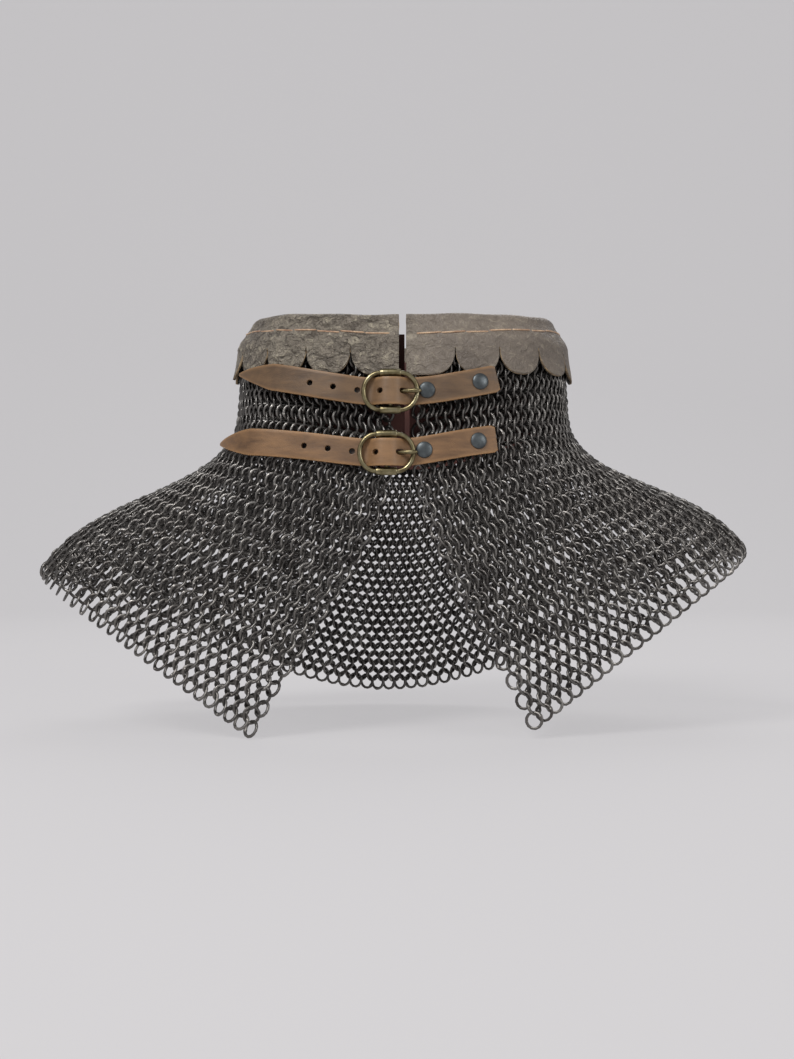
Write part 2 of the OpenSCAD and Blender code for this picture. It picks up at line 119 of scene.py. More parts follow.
def make_piece(name, points, faces, material):
    """A smooth-shaded mesh object, in metres, from points in mm and faces."""
    mesh = bpy.data.meshes.new(name)
    faces = faces.tolist() if isinstance(faces, np.ndarray) else faces
    mesh.from_pydata((np.asarray(points) / 1000).tolist(), [], faces)
    mesh.update()
    mesh.polygons.foreach_set("use_smooth", np.ones(len(mesh.polygons), dtype=bool))
    mesh.materials.append(material)
    piece = bpy.data.objects.new(name, mesh)
    bpy.context.scene.collection.objects.link(piece)
    return piece


def mark_points(piece, **values):
    """Stores one number for each point of a piece, under the names that its material reads."""
    for label, numbers in values.items():
        piece.data.attributes.new(label, "FLOAT", "POINT").data.foreach_set("value", numbers)


def ring_places(node):
    """Middle and axis of each ring of a CAD row: the middle of its box, and the direction in which
    its corners spread least, turned to the outer and upper side of the collar."""
    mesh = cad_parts[node].data
    rings = len(mesh.polygons) // CAD_RING_TRIANGLES
    corners = np.empty(len(mesh.loops), dtype=np.int32)
    mesh.loops.foreach_get("vertex_index", corners)
    points = np.empty(len(mesh.vertices) * 3, dtype=np.float32)
    mesh.vertices.foreach_get("co", points)
    points = points.reshape(-1, 3).astype(float)[corners].reshape(rings, -1, 3) * 1000
    middle = (points.min(1) + points.max(1)) / 2
    spread = points - middle[:, None]
    axis = np.linalg.eigh(np.einsum("nij,nik->njk", spread, spread))[1][:, :, 0]
    outward = middle * [1, 1, 0]
    outward = outward / np.linalg.norm(outward, axis=1)[:, None] + [0, 0, 0.4]
    return middle, axis * np.sign(np.einsum("ij,ij->i", axis, outward))[:, None]


def ring_shape():
    """One flat ring with its lap at angle 0, where the flattened ends overlap: the band widens by
    a bell curve exp(-(angle / 16 deg)^2), and a low six-sided rivet head stands on its outer side.
    Returns points, faces, and for each point 1 on the rivet's head and 0 elsewhere."""
    angle = np.radians([0, 12, 24, 42, 70, 99, 128, 157, 186, 215, 244, 273, 302, 325, 338, 349])
    turn = (angle + math.pi) % (2 * math.pi) - math.pi
    lap = np.exp(-(turn / math.radians(LAP_ANGLE)) ** 2)
    inner, outer = RING_INNER - LAP_INWARD * lap, RING_OUTER + LAP_OUTWARD * lap
    thick = RING_THICK / 2 + LAP_THICK * lap
    radius = np.stack([inner, outer, outer, inner], 1)
    height = np.stack([thick, thick, -thick, -thick], 1)
    band = np.stack([radius * np.cos(angle)[:, None], radius * np.sin(angle)[:, None], height], 2)
    n, m = len(angle), RIVET_SIDES
    k, j = np.meshgrid(np.arange(n), np.arange(4), indexing="ij")
    quads = np.stack([k * 4 + j, k * 4 + (j + 1) % 4, (k + 1) % n * 4 + (j + 1) % 4,
                      (k + 1) % n * 4 + j], 2).reshape(-1, 4)
    six = np.radians(np.arange(0, 360, 360 // m))
    middle = (RING_INNER + RING_OUTER) / 2
    head = np.concatenate([
        np.stack([middle + r * np.cos(six), r * np.sin(six), np.full(m, z)], 1)
        for r, z in ((RIVET_R, thick[0] - 0.05), (RIVET_R * 0.82, thick[0] + RIVET_H * 0.6),
                     (RIVET_R * 0.35, thick[0] + RIVET_H))])
    h, i = 4 * n, np.arange(m)
    sides = np.concatenate([np.stack([h + m * s + i, h + m * s + (i + 1) % m,
                                      h + m * s + m + (i + 1) % m, h + m * s + m + i], 1)
                            for s in (0, 1)])
    top = h + 2 * m
    caps = np.stack([[top, top + 1, top + 2, top + 3], [top, top + 3, top + 4, top + 5]])
    points = np.concatenate([band.reshape(-1, 3), head])
    riveted = np.concatenate([np.zeros(h), np.ones(len(head))])
    return points, np.concatenate([quads, sides, caps]), riveted


def mail_material():
    """Oiled steel, flattened and riveted: dark grey-brown and satin, with duller patches about
    29 mm across, a grit of 0.7 mm, drawn coarser than the real one so that it shows, and rings
    that differ a little from their neighbours."""
    material, tree = new_material("oiled_riveted_steel")
    place = add(tree, "TexCoord", "Object")
    ring = add(tree, "Attribute", "Fac", {"attribute_name": "ring_tone"})
    rivet = add(tree, "Attribute", "Fac", {"attribute_name": "rivet"})
    patch = add(tree, "TexNoise", Vector=place, Scale=1000 / DULL_PATCH, Detail=3.0)
    grit = add(tree, "TexNoise", Vector=place, Scale=1000 / STEEL_GRIT, Detail=2.0)
    by_ring = add(tree, "MapRange", Value=ring, To_Max=0.55)
    by_grit = add(tree, "MapRange", Value=grit, To_Max=0.45)
    tone = add(tree, "Math", settings={"operation": "ADD"}, _0=by_ring, _1=by_grit)
    colour = add(tree, "ValToRGB", Fac=tone,
                 stops=[(0.15, "#474544"), (0.5, "#696765"), (0.9, "#918e8a")])
    dulled = add(tree, "MapRange", Value=patch, To_Max=0.4)
    colour = add(tree, "Mix", 2, IN_COLOUR, Factor=dulled, _6=colour, _7="#574d45")
    # Painted highlight: the rivet heads are mixed towards a pale grey.
    wear_and_painted_highlight = add(tree, "MapRange", Value=rivet, To_Max=0.7)
    colour = add(tree, "Mix", 2, IN_COLOUR, Factor=wear_and_painted_highlight, _6=colour, _7="#b4afa9")
    rough = add(tree, "MapRange", Value=grit, From_Min=0.3, From_Max=0.7, To_Min=0.28,
                To_Max=0.5)
    bump = add(tree, "Bump", Height=grit, Strength=0.3, Distance=0.0003)
    surface = add(tree, "BsdfPrincipled", Base_Color=colour, Roughness=rough,
                  Metallic=0.9, Normal=bump)
    add(tree, "OutputMaterial", Surface=surface)
    return material


steel = mail_material()
ring_points, ring_faces, ring_rivet = ring_shape()
hand = np.random.default_rng(39)
for name, first, past in MAIL_BLOCKS:
    rows = [f"mail_row_{row:02d}" for row in range(first, past)]
    places = [ring_places(row) for row in rows]
    middle = np.concatenate([p[0] for p in places])
    axis = np.concatenate([p[1] for p in places])
    count = len(middle)
    # No two rings lie alike: each one tips and shifts a little
    axis = axis + hand.normal(0, RING_TIP, (count, 3))
    axis /= np.linalg.norm(axis, axis=1)[:, None]
    middle = middle + hand.normal(0, RING_SHIFT, (count, 3))
    side = np.cross(axis, [0.0, 0.0, 1.0])
    side /= np.linalg.norm(side, axis=1)[:, None]
    spin = hand.uniform(0, 2 * math.pi, count)[:, None]
    lap_way = side * np.cos(spin) + np.cross(axis, side) * np.sin(spin)
    turned_axes = np.stack([lap_way, np.cross(axis, lap_way), axis], 1)
    points = middle[:, None] + np.einsum("pj,njk->npk", ring_points, turned_axes)
    faces = ring_faces[None] + (np.arange(count) * len(ring_points))[:, None, None]
    piece = make_piece(name, points.reshape(-1, 3), faces.reshape(-1, 4), steel)
    mark_points(piece, ring_tone=np.repeat(hand.uniform(0, 1, count), len(ring_points)),
                rivet=np.tile(ring_rivet, count))
    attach(piece, "collar")
    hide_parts(*rows)

# The neck liner is a band of dark reddish-brown leather that keeps the rings off
# the skin. It is cut 1.5 mm thick, lies inside the mail, and its edges are raw.
NECK_W, NECK_D, SQUARE, TOP_PINCH = 210.0, 164.0, 2.5, 0.93
TOP_Z, BACK_DIP = 55.0, 4.0
BACK_BASE_Z, SIDE_BASE_Z, FRONT_BASE_Z = -24.0, 2.0, -20.0
MAIL_HALF, MAIL_BACK, LIE, SLACK, LEATHER = 4.75, 4.35, 0.3, 0.6, 1.5
LINER_TOP, LINER_FOOT, LINER_OVER_BEND, LINER_SIDE_ROOM = 66, -14, 9, 3.2
LINER_ENDS, LINER_ROWS, LINER_COLUMNS = (4, 1), 12, 150
LINER_CLOUD, LINER_FIBRE = 22.2, 1.11


def plan(phi):
    """Superellipse of the neck's plan, phi in degrees from the back: the radius solves
    (|sin| r / (w/2))^n + (|cos| r / (d/2))^n = 1. Returns the place and the outward normal."""
    s, c = np.sin(np.radians(phi)), np.cos(np.radians(phi))
    r = ((np.abs(s) * 2 / NECK_W) ** SQUARE + (np.abs(c) * 2 / NECK_D) ** SQUARE) ** (-1 / SQUARE)
    x, y = -r * s, -r * c
    g = np.stack([np.sign(x) * (np.abs(x) * 2 / NECK_W) ** (SQUARE - 1) / NECK_W,
                  np.sign(y) * (np.abs(y) * 2 / NECK_D) ** (SQUARE - 1) / NECK_D], -1)
    return np.stack([x, y], -1), g / np.linalg.norm(g, axis=-1, keepdims=True)


PHI = np.arange(0, 181, 3.0)
PLAN_RUN = np.concatenate([[0], np.cumsum(np.linalg.norm(np.diff(plan(PHI)[0], axis=0), axis=1))])
HALF_ROUND = PLAN_RUN[-1]


def phi_at(u):
    """Plan angle at a distance u along the neck from the middle of the back, + towards +X."""
    return -np.sign(u) * np.interp(np.abs(u), PLAN_RUN, PHI)


def dip(phi):
    """How much lower the top edge runs: -back_dip (1 + cos 2 phi) / 2."""
    return -BACK_DIP * (1 + np.cos(np.radians(2 * phi))) / 2


def neck_at(u, z, out):
    """Point at distance u round the neck and height z, out mm outside the middle of the mail; the
    neck draws in evenly to TOP_PINCH of its size at the top row."""
    u, z, out = np.broadcast_arrays(u, z, out)
    place, normal = plan(phi_at(u))
    pinch = 1 - (1 - TOP_PINCH) * (z - BACK_BASE_Z) / (TOP_Z - BACK_BASE_Z)
    xy = pinch[..., None] * place + out[..., None] * normal
    return np.concatenate([xy, z[..., None]], -1)


def ease(t):
    """3 t^2 - 2 t^3, with t held between 0 and 1."""
    t = np.clip(t, 0, 1)
    return t * t * (3 - 2 * t)


def round_way(first, last, n):
    """n distances round the neck from first on one side of the opening to last on the other,
    counted on past the middle of the front and brought back to -half .. half."""
    run = np.linspace(first, 2 * HALF_ROUND + last, n)
    return np.where(run > HALF_ROUND, run - 2 * HALF_ROUND, run)


def trim_skin(phi):
    """Distance from the middle of the mail to the inside of the trim, wider at the sides, where
    the rings stand further out."""
    return MAIL_BACK + LIE + SLACK + (MAIL_HALF - MAIL_BACK) * ease((np.abs(phi) - 10) / 50)


def base_z(phi):
    """Height of the mail's bend, eased from the back over the side to the front."""
    phi = np.abs(phi)
    return np.where(phi < 90, BACK_BASE_Z + (SIDE_BASE_Z - BACK_BASE_Z) * ease((phi - 10) / 75),
                    SIDE_BASE_Z + (FRONT_BASE_Z - SIDE_BASE_Z) * ease((phi - 95) / 80))


def grid_faces(rows, columns):
    """Quads of a grid of points stored row by row."""
    i, j = np.meshgrid(np.arange(rows - 1), np.arange(columns - 1), indexing="ij")
    a = i * columns + j
    return np.stack([a, a + 1, a + columns + 1, a + columns], -1).reshape(-1, 4)


def thicken(piece, thickness, bevel=0.0, raw_edge=None):
    """Gives leather its thickness to both sides of its middle, and softens its cut edges by a
    bevel or gives them a finish of their own."""
    wall = piece.modifiers.new("thickness", "SOLIDIFY")
    wall.thickness = thickness / 1000
    wall.offset = 0
    if raw_edge:
        piece.data.materials.append(raw_edge)
        wall.material_offset_rim = 1
    if bevel:
        edge = piece.modifiers.new("softened_edges", "BEVEL")
        edge.width = bevel / 1000
        edge.segments = 2
        edge.limit_method = "ANGLE"
        edge.angle_limit = math.radians(50)


def liner_material():
    """Vegetable-tanned leather dyed reddish brown, flesh side out: dull, with fibres about 1 mm
    apart and clouds about 22 mm across."""
    material, tree = new_material("reddish_brown_leather")
    place = add(tree, "TexCoord", "Object")
    cloud = add(tree, "TexNoise", Vector=place, Scale=1000 / LINER_CLOUD, Detail=4.0)
    fibre = add(tree, "TexNoise", Vector=place, Scale=1000 / LINER_FIBRE, Detail=4.0)
    colour = add(tree, "ValToRGB", Fac=cloud, stops=[(0.3, "#3a1f1a"), (0.7, "#54302a")])
    bump = add(tree, "Bump", Height=fibre, Strength=0.35, Distance=0.0004)
    surface = add(tree, "BsdfPrincipled", Base_Color=colour, Roughness=0.72, IOR=1.45,
                  Normal=bump)
    add(tree, "OutputMaterial", Surface=surface)
    return material


u = round_way(*LINER_ENDS, LINER_COLUMNS)[None]
phi = phi_at(u)
foot, top = np.maximum(LINER_FOOT, base_z(phi) + LINER_OVER_BEND), LINER_TOP + dip(phi)
z = foot + (top - foot) * np.linspace(0, 1, LINER_ROWS)[:, None]
inset = np.maximum(MAIL_HALF + LIE + LINER_SIDE_ROOM * np.sin(np.radians(phi)) ** 2,
                   trim_skin(phi) + LEATHER + SLACK) + LEATHER / 2
liner = make_piece("reddish_liner", neck_at(u, z, -inset).reshape(-1, 3),
                   grid_faces(LINER_ROWS, LINER_COLUMNS), liner_material())
thicken(liner, LEATHER, bevel=0.3)
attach(liner, "collar")
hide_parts("neck_liner")

# The dagged trim is dark brown grained leather folded over the top of the mail.
# Its outer flap is slit about every 27 mm and cut into round lappets, which curl
# a little as they hang.
TRIM_RISE, SLIT_HEAD, TRIM_DROP, INNER_DROP = 22.0, 21.0, 37.0, 30.0
END_LAPPET, LAPPETS, END_GAP, FAR_END_GAP, HALF_SLIT = 30.0, 11, 2.0, 2.6, 0.25
FOLD_R, FOLD_LEAN, TOP_TO_MIDDLE = 2.1, 3.5, 0.7
# How far off the opening the lappets hang clear of the straps, and over what stretch they do
CLEAR_RIGHT, CLEAR_LEFT = (62, 20), (112, 14)
SEAM_DROP, SEAM_CLIMB = 12.5, 4.5
ACROSS, INNER_ROWS, OUTER_ROWS, LAPPET_ROWS = 23, 9, 17, 12
TRIM_BEND, PEBBLE, CREASE, TRIM_CLOUD, EDGE_SOIL = 6.25, 1.61, 5.88, 35.7, 4.17
lappet_w = (HALF_ROUND - END_LAPPET - END_GAP) / (LAPPETS - 1)
half_cuts = END_LAPPET + END_GAP + lappet_w * np.arange(LAPPETS)
cuts = np.concatenate([[END_GAP], half_cuts, 2 * HALF_ROUND - half_cuts[-2::-1],
                       [2 * HALF_ROUND - FAR_END_GAP]])


def trim_out(drop, skin):
    """Distance of the leather's middle from the middle of the mail, at a drop below the fold's
    crest: a half circle of radius FOLD_R, then an S-curve out to the skin of the mail."""
    arc = np.sqrt(np.clip(FOLD_R ** 2 - (FOLD_R - drop) ** 2, 0, None))
    hang = FOLD_R + (skin + LEATHER / 2 - FOLD_R) * ease((drop - FOLD_R) / 15)
    return np.where(drop < FOLD_R, arc, hang)


def lean_in(drop, phi):
    """How far the fold leans in over the shoulders: lean sin^2 phi (1 - drop / 17)."""
    return FOLD_LEAN * np.sin(np.radians(phi)) ** 2 * np.clip(1 - drop / 17, 0, 1)


def seam_drop(phi):
    """Drop of the line of stitches, which climbs towards the sides: drop - climb sin^2 phi."""
    return SEAM_DROP - SEAM_CLIMB * np.sin(np.radians(phi)) ** 2


def hide_wave(u, drop):
    """Long shallow waves of the outer flap: 0.28 sin(u / 11 + 1.3) + 0.2 sin(u / 5.3 + drop / 6)."""
    return 0.28 * np.sin(u / 11 + 1.3) + 0.2 * np.sin(u / 5.3 + drop / 6)


def crumple(u, drop, phi):
    """Wrinkles in the hide, deepest on the left half: two sets of slanted sine ripples, which
    repeat every 5 and 8 mm along the neck and whose lines wander. The seam pulls them flat, and
    they fade towards the lappets' ends."""
    left = 0.25 + 0.75 * ease((15 - plan(phi)[0][..., 0]) / 30)
    wander = 2.3 * np.sin(u / 6.7 - drop / 9) + np.sin(drop / 2.7)
    ripples = 0.17 * np.sin(u / 0.82 + drop / 1.5 + wander)
    wander = 2.0 * np.sin(drop / 5.3 + u / 8.9)
    ripples = ripples + 0.2 * np.sin(u / 1.25 - drop / 1.1 + wander)
    at_seam = np.exp(-((drop - seam_drop(phi)) / 1.5) ** 2)
    at_front = np.exp(-((HALF_ROUND - abs(u)) / 6) ** 2)
    calm = (1 - 0.9 * at_seam) * (1 - at_front)
    return left * ripples * calm * ease(drop / 4) * (1 - ease((drop - 22) / 8))


def lappet_share(t, edge):
    """Outline of a lappet's end, t from 0 to 1 across it: 0.12 + 0.88 (1 - |2t - 1|^2.4)^0.5 of
    the way from the slit's head to the tip, and nearly square on a side along the opening."""
    round_end = 0.12 + 0.88 * np.sqrt(np.clip(1 - np.abs(2 * t - 1) ** 2.4, 0, 1))
    if edge == 0:
        return round_end
    square_end = 1 - 0.1 * np.clip(1 - (t if edge < 0 else 1 - t) / 0.16, 0, 1) ** 2
    return np.where((t < 0.5) == (edge < 0), square_end, round_end)


def lappet_columns():
    """For every column of the trim: its distance round the neck, its share of a lappet's full
    depth, and how far it curls out, which is next to nothing under the straps."""
    t = 0.5 - 0.5 * np.cos(np.linspace(0, math.pi, ACROSS))
    run, share, curl = [], [], []
    last = len(cuts) - 2
    for k in range(last + 1):
        a, b = cuts[k] + (HALF_SLIT if k else 0), cuts[k + 1] - (HALF_SLIT if k < last else 0)
        run.append(a + (b - a) * t)
        share.append(lappet_share(t, -1 if k == 0 else 1 if k == last else 0))
        middle = (a + b) / 2 if (a + b) / 2 < HALF_ROUND else (a + b) / 2 - 2 * HALF_ROUND
        begin, stretch = CLEAR_RIGHT if middle > 0 else CLEAR_LEFT
        free = ease((abs(middle) - begin) / stretch)
        curl.append(free * (hand.uniform(0.6, 2.6) + hand.uniform(-1.4, 1.4) * (2 * t - 1))
                    + 0.12 * hand.uniform(0, 1) * (2 * t - 1) ** 2)
    run, share, curl = (np.concatenate(q) for q in (run, share, curl))
    return np.where(run > HALF_ROUND, run - 2 * HALF_ROUND, run), share, curl


def trim_points():
    """Rows from the inner flap's edge over the fold and down the outer flap; those below the
    slits' heads stretch to each column's own depth, and their faces are left out where a slit
    separates two lappets."""
    u, share, curl = lappet_columns()
    phi = phi_at(u)
    past_fold = FOLD_R + 0.8
    arc = FOLD_R * (1 - np.cos(np.radians([78, 52, 26])))
    inner = np.concatenate([np.linspace(INNER_DROP - TOP_TO_MIDDLE, past_fold, INNER_ROWS), arc])
    outer = np.concatenate([[0], arc[::-1],
                            np.linspace(past_fold, SLIT_HEAD - TOP_TO_MIDDLE, OUTER_ROWS)])
    below = (np.linspace(0, 1, LAPPET_ROWS + 1)[1:, None] * share * (TRIM_DROP - SLIT_HEAD)
             + SLIT_HEAD - TOP_TO_MIDDLE)
    flaps = np.repeat(np.concatenate([inner, outer])[:, None], len(u), 1)
    drop = np.concatenate([flaps, below])
    outside = np.arange(len(drop))[:, None] >= len(inner)
    hang = np.clip((drop - SLIT_HEAD + 3) / (TRIM_DROP - SLIT_HEAD + 3), 0, 1)
    hang[:len(inner) + 1] = 0
    wave = hide_wave(u, drop) * outside * ease(drop / 9)
    wave = wave * np.where(hang > 0, 1 - 0.4 * hang, 1)
    out = (np.where(outside, 1, -1) * trim_out(drop, trim_skin(phi)) - lean_in(drop, phi)
           + wave * ease((SLIT_HEAD - drop) / 8) + curl * hang ** 1.5
           + crumple(u, drop, phi) * outside)
    crest = 0.35 * np.sin(u / 17) + 0.2 * np.sin(u / 6.1 + 2)
    z = TOP_Z + TRIM_RISE - LEATHER / 2 - drop + dip(phi) + crest * ease(1 - drop / 12)
    rows, columns = drop.shape
    faces = grid_faces(rows, columns)
    row, column = faces[:, 0] // columns, faces[:, 0] % columns
    slit = (column % ACROSS == ACROSS - 1) & (row >= rows - LAPPET_ROWS - 1)
    return neck_at(u[None], z, out).reshape(-1, 3), faces[~slit]


def trim_material():
    """Drum-dyed grained hide: a pebble about 1.6 mm across under creases about 10 mm long and
    3.5 mm apart, deeper on the left half, where the hide came from the flank; satin, and paler
    brown where it is rubbed. The creases carry painted shade in their valleys and a painted
    highlight on their crests, mostly on the left half."""
    material, tree = new_material("grained_brown_leather")
    place = add(tree, "TexCoord", "Object")
    bend = add(tree, "TexNoise", "Color", Vector=place, Scale=1000 / TRIM_BEND,
               Detail=3.0)
    warped = add(tree, "Mix", 2, {"data_type": "RGBA", "blend_type": "ADD"},
                 Factor=0.012, _6=place, _7=bend)
    pebble = add(tree, "TexVoronoi", settings={"feature": "SMOOTH_F1"}, Vector=warped,
                 Scale=1000 / PEBBLE, Smoothness=0.6)
    longer = add(tree, "Mapping", Vector=warped, Rotation=(0.0, 0.6, 0.0),
                 Scale=(0.6, 1.0, 1.7))
    crease = add(tree, "TexNoise", Vector=longer, Scale=1000 / CREASE, Detail=4.0,
                 Roughness=0.6, Distortion=0.4)
    cloud = add(tree, "TexNoise", Vector=place, Scale=1000 / TRIM_CLOUD, Detail=4.0)
    across = add(tree, "SeparateXYZ", Vector=place)
    flank = add(tree, "MapRange", Value=across, From_Min=-0.02, From_Max=0.02,
                To_Min=1.0, To_Max=0.35)
    paler = add(tree, "ValToRGB", Fac=cloud,
                stops=[(0.3, "#5e564b"), (0.5, "#746c5f"), (0.72, "#877f70")])
    browner = add(tree, "ValToRGB", Fac=cloud,
                  stops=[(0.3, "#3b3129"), (0.5, "#4c4138"), (0.72, "#5c5046")])
    colour = add(tree, "Mix", 2, IN_COLOUR, Factor=flank, _6=browner, _7=paler)
    wear_and_painted_highlight = add(tree, "MapRange", Value=pebble, To_Min=0.5, To_Max=0.0)
    colour = add(tree, "Mix", 2, IN_COLOUR, Factor=wear_and_painted_highlight, _6=colour, _7="#7a6f66")
    # Painted shade darkens the creases' valleys, and a painted highlight lightens their crests.
    for low, high, tone in ((0.47, 0.38, "#33291f"), (0.55, 0.66, "#b3a994")):
        painted_crease_shade_and_highlight = add(tree, "MapRange", Value=crease, From_Min=low, From_Max=high, To_Max=0.6)
        painted_crease_shade_and_highlight = add(tree, "Math", settings={"operation": "MULTIPLY"}, _0=painted_crease_shade_and_highlight, _1=flank)
        colour = add(tree, "Mix", 2, IN_COLOUR, Factor=painted_crease_shade_and_highlight, _6=colour, _7=tone)
    rough = add(tree, "MapRange", Value=crease, From_Min=0.3, From_Max=0.7, To_Min=0.46,
                To_Max=0.62)
    creased = add(tree, "Bump", Height=crease, Strength=flank, Distance=0.008)
    pebbled = add(tree, "Bump", Height=pebble, Strength=0.4, Distance=0.0005,
                  Normal=creased)
    surface = add(tree, "BsdfPrincipled", Base_Color=colour, Roughness=rough, IOR=1.48,
                  Normal=pebbled)
    add(tree, "OutputMaterial", Surface=surface)
    return material


def raw_edge_material():
    """The hide's cut edge: undyed fibres, pale tan and matt, soiled by handling every 4 mm."""
    material, tree = new_material("raw_cut_leather")
    place = add(tree, "TexCoord", "Object")
    soil = add(tree, "TexNoise", Vector=place, Scale=1000 / EDGE_SOIL, Detail=4.0)
    colour = add(tree, "ValToRGB", Fac=soil,
                 stops=[(0.35, "#5d4f40"), (0.65, "#9a8568")])
    bump = add(tree, "Bump", Height=soil, Strength=0.6, Distance=0.0006)
    surface = add(tree, "BsdfPrincipled", Base_Color=colour, Roughness=0.85, IOR=1.45,
                  Normal=bump)
    add(tree, "OutputMaterial", Surface=surface)
    return material


trim = make_piece("dagged_leather_trim", *trim_points(), trim_material())
thicken(trim, LEATHER, raw_edge=raw_edge_material())
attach(trim, "collar")
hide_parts("dagged_trim")

# The stitching is thick waxed thread in long running stitches through the fold.
# Each shows about 14 mm on the face, and its ends are pulled into the leather.
STITCH_LEN, STITCH_PITCH, THREAD_R = 14.0, 15.4, 0.5
FIRST_STITCH, SEAM_END = 9, 12
STITCH_CROWN, STITCH_SINK = 0.3, 0.55
THREAD_FADE, THREAD_TWIST = 8.33, 1.5


def tube(path, radius, sides, up=(0.0, 0.0, 1.0), closed=False):
    """Tube round a path: at each point, radius * (cos a * side + sin a * normal), with
    side = tangent x up, and each end closed by one face unless the path is closed."""
    path = np.asarray(path, dtype=float)
    n = len(path)
    step = np.roll(path, -1, 0) - np.roll(path, 1, 0)
    if not closed:
        step[0], step[-1] = path[1] - path[0], path[-1] - path[-2]
    tangent = step / np.linalg.norm(step, axis=1)[:, None]
    side = np.cross(tangent, up)
    side /= np.linalg.norm(side, axis=1)[:, None]
    normal = np.cross(side, tangent)
    a = np.linspace(0, 2 * math.pi, sides, endpoint=False)
    radius = np.broadcast_to(np.asarray(radius, dtype=float), (n,))
    ring = np.cos(a)[None, :, None] * side[:, None] + np.sin(a)[None, :, None] * normal[:, None]
    points = (path[:, None] + radius[:, None, None] * ring).reshape(-1, 3)
    i, j = np.meshgrid(np.arange(n if closed else n - 1), np.arange(sides), indexing="ij")
    quads = np.stack([i * sides + j, (i + 1) % n * sides + j, (i + 1) % n * sides + (j + 1) % sides,
                      i * sides + (j + 1) % sides], -1).reshape(-1, 4).tolist()
    if not closed:
        quads += [list(range(sides)), [(n - 1) * sides + j for j in range(sides - 1, -1, -1)]]
    return points, quads


def joined(parts):
    """Several (points, faces) as one, with the faces counted on."""
    points, faces, start = [], [], 0
    for p, f in parts:
        points.append(p)
        faces += [[start + q for q in face] for face in f]
        start += len(p)
    return np.concatenate(points), faces


def thread_material():
    """Waxed linen thread, rust red faded to ochre in stretches of 8 mm, its twist drawn every
    1.5 mm along it, coarser than the real one so that it shows, with a slight sheen from the wax.
    A wave repeats every 2 pi / 10 of its scale."""
    material, tree = new_material("waxed_linen_thread")
    place = add(tree, "TexCoord", "Object")
    fade = add(tree, "TexNoise", Vector=place, Scale=1000 / THREAD_FADE, Detail=2.0)
    twist = add(tree, "TexWave", "Fac", {"bands_direction": "DIAGONAL"}, Vector=place,
                Scale=1000 / THREAD_TWIST * 2 * math.pi / 10, Distortion=1.0)
    colour = add(tree, "ValToRGB", Fac=fade, stops=[(0.3, "#8a6750"), (0.7, "#c2a587")])
    bump = add(tree, "Bump", Height=twist, Strength=0.5, Distance=0.0003)
    surface = add(tree, "BsdfPrincipled", Base_Color=colour, Roughness=0.55, IOR=1.5,
                  Normal=bump)
    add(tree, "OutputMaterial", Surface=surface)
    return material


stitches = []
for way in (-1, 1):
    for k in range(int((HALF_ROUND - SEAM_END) // STITCH_PITCH)):
        t = np.linspace(-0.04, 1.04, 12)
        u = way * (FIRST_STITCH + STITCH_PITCH * k + STITCH_LEN * t)
        phi = phi_at(u)
        crown = STITCH_CROWN * np.clip(np.sin(math.pi * np.clip(t, 0, 1)), 0, 1) ** 0.35
        lift = crown - STITCH_SINK * (np.abs(t - 0.5) > 0.5)
        drop = seam_drop(phi)
        below_crest = drop - LEATHER / 2
        out = (trim_out(below_crest, trim_skin(phi)) - lean_in(below_crest, phi) + LEATHER / 2
               + lift + hide_wave(u, drop) * ease((SLIT_HEAD - drop) / 8) + crumple(u, drop, phi))
        z = (TOP_Z + TRIM_RISE - drop + dip(phi) + hand.normal(0, 0.25)
             + hand.normal(0, 0.3) * (t - 0.5))
        stitches.append(tube(neck_at(u, z, out), THREAD_R, 8))
thread = make_piece("running_stitches", *joined(stitches), thread_material())
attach(thread, "collar")
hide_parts("trim_stitching")

# The straps are waxed pull-up leather, 16 mm wide and 2 mm thick, cut to a point
# on the left and punched by hand. Their right ends are riveted through the mail.
STRAP_W, STRAP_T, POINT_L, POINT_R = 16.0, 2.0, 32.0, 0.7
HOLE_D, HOLE_PITCH, HOLES, FIRST_HOLE, TONGUE_HOLE, TONGUE_SLOT = 3.4, 14.0, 4, 8.3, 7.3, 0.7
FRAME_D, BAR_D, TAB_T, PLAY, RIM_GAP, BUCKLE_L, BUCKLE_H = 2.8, 2.4, 1.2, 0.15, 0.45, 34.0, 24.5
FRAME_OUT = MAIL_BACK + LIE + TAB_T + 0.1 + STRAP_T + RIM_GAP + FRAME_D / 2
RIM_S = (BUCKLE_L - FRAME_D) / 2
LOOP_R = BAR_D / 2 + PLAY + TAB_T
UNDER_RIM = FRAME_OUT - FRAME_D / 2 - RIM_GAP - STRAP_T
OVER_BAR = FRAME_OUT + LOOP_R + 0.1
# Ends and bar along the neck, height at the bar, rise to the left and to the right as height and
# reach, how far out the strap lies away from its buckle, and how much further by its tip
UPPER = {"tip": -112, "end": 56, "z": 25.4, "rise": (17, 74, 30, 110), "bar": -7.5,
         "far": MAIL_HALF + LIE + SLACK + LEATHER + 0.4, "side": 0.0}
LOWER = {"tip": -122, "end": 54, "z": -10.4, "rise": (8, 50, 11, 50), "bar": -9.5,
         "far": UNDER_RIM, "side": 6.5}
STRAP_CELLS, CELL, HOLE_CELLS, HOLE_CELL = 8, 2.2, 4, 2
STREAK, BLOT, PORE = 7.69, 16.7, 0.667


def strap_z(line, u):
    """Height of a strap's middle: it rises on either side of the buckle as h (1 - exp(-(s/r)^2))."""
    s = u - line["bar"]
    left_rise, left_reach, right_rise, right_reach = line["rise"]
    return line["z"] + np.where(s < 0, left_rise * (1 - np.exp(-(s / left_reach) ** 2)),
                                right_rise * (1 - np.exp(-(s / right_reach) ** 2)))


